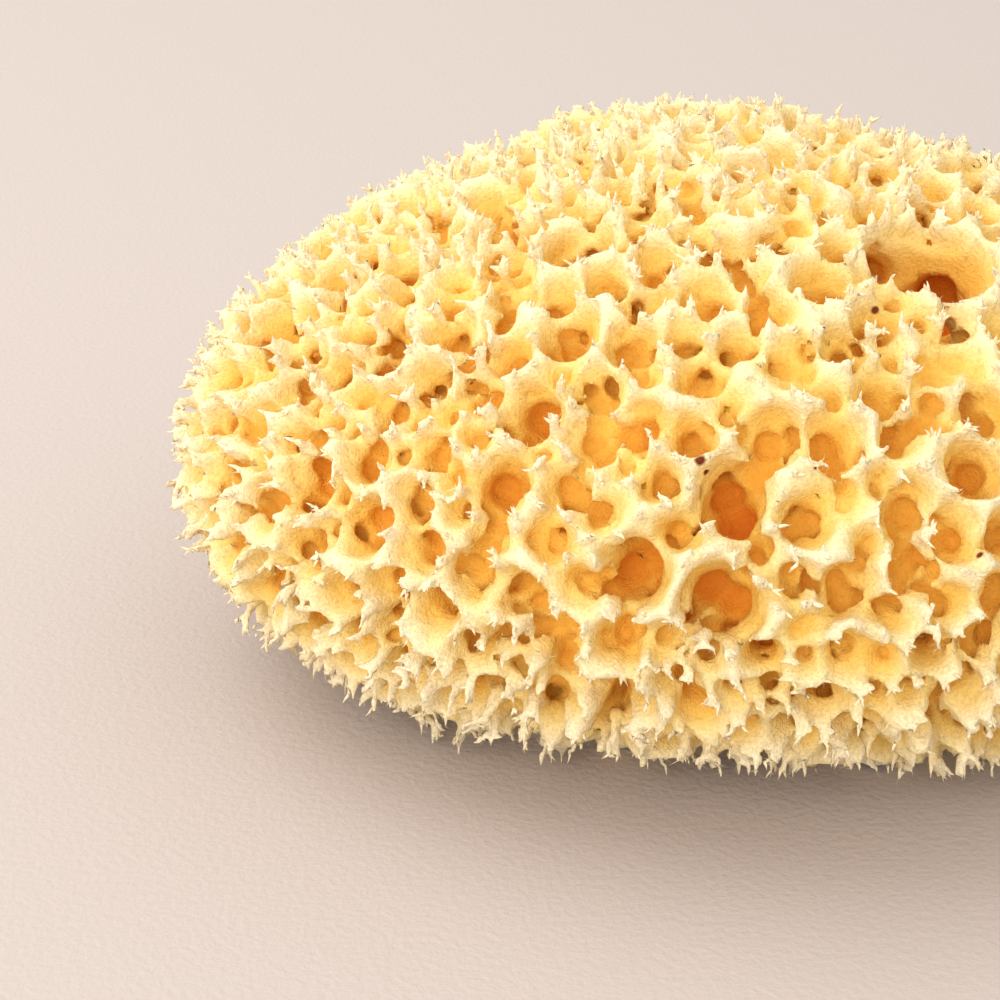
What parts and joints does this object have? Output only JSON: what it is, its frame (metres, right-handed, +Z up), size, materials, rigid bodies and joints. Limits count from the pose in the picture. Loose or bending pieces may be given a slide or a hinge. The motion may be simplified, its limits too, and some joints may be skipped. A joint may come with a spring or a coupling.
{
  "type": "sea sponge",
  "caption": "Bun-shaped honeycomb bath sponge, pitted all over with round pores and spiky ridges, lying on a flat cut.",
  "frame": {"origin": "middle of the flat cut that the sponge rests on, on its bounding box's bottom face", "axes": "+X along the sponge's long axis, +Z up out of the flat cut, and -Y faces the side with the best-seen pores"},
  "size_m": [0.1398, 0.1238, 0.0639],
  "materials": {
    "spongin": "matte"
  },
  "bodies": {
    "root": {"sponge": "spongin"}
  },
  "joints": []
}
